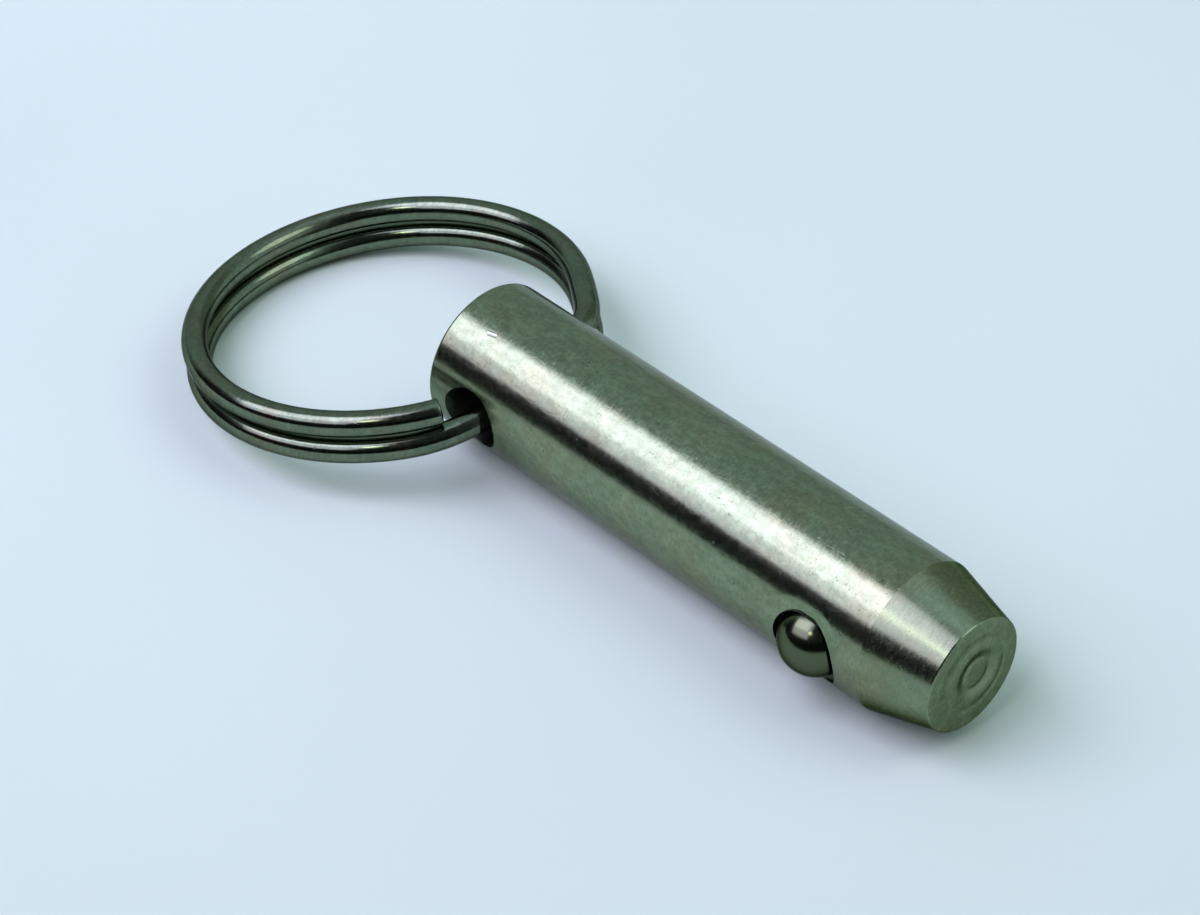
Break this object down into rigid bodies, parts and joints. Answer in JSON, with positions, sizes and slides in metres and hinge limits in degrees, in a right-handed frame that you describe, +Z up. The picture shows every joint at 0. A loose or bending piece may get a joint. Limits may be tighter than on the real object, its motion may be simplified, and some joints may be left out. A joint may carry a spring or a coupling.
{
  "type": "detent pin",
  "caption": "Turned steel detent pin with a tapered nose, a spring-loaded ball staked in a blind cross bore and a split ring through a hole at its head.",
  "frame": {"origin": "centre of the pin's flat head end, on the pin's axis", "axes": "+X along the pin's axis from head to nose, +Z up as the pin lies on a flat surface"},
  "size_m": [0.0604, 0.0258, 0.0096],
  "materials": {
    "pin_steel": "satin turned stainless steel with fine lathe marks and light scuffs",
    "ball_steel": "mirror-polished hardened ball",
    "spring_steel": "bright drawn spring wire",
    "ring_steel": "smooth drawn and tumbled stainless wire"
  },
  "bodies": {
    "pin": {"pin_body": "pin_steel", "ball_spring": "spring_steel"},
    "ball": {"detent_ball": "ball_steel"},
    "ring": {"split_ring": "ring_steel"}
  },
  "joints": [
    {"name": "ball_press", "type": "slide", "parent": "pin", "child": "ball", "axis": [0, -0.9877, -0.1564], "range_m": [-0.00105, 0], "stiffness_N_per_m": 1500, "deforming": ["ball_spring"]},
    {"name": "ring_swing", "type": "hinge", "parent": "pin", "child": "ring", "pos_m": [0.00362, 0, 0], "axis": [0, 0.9976, 0.0698], "range_deg": [-155, 170]}
  ]
}
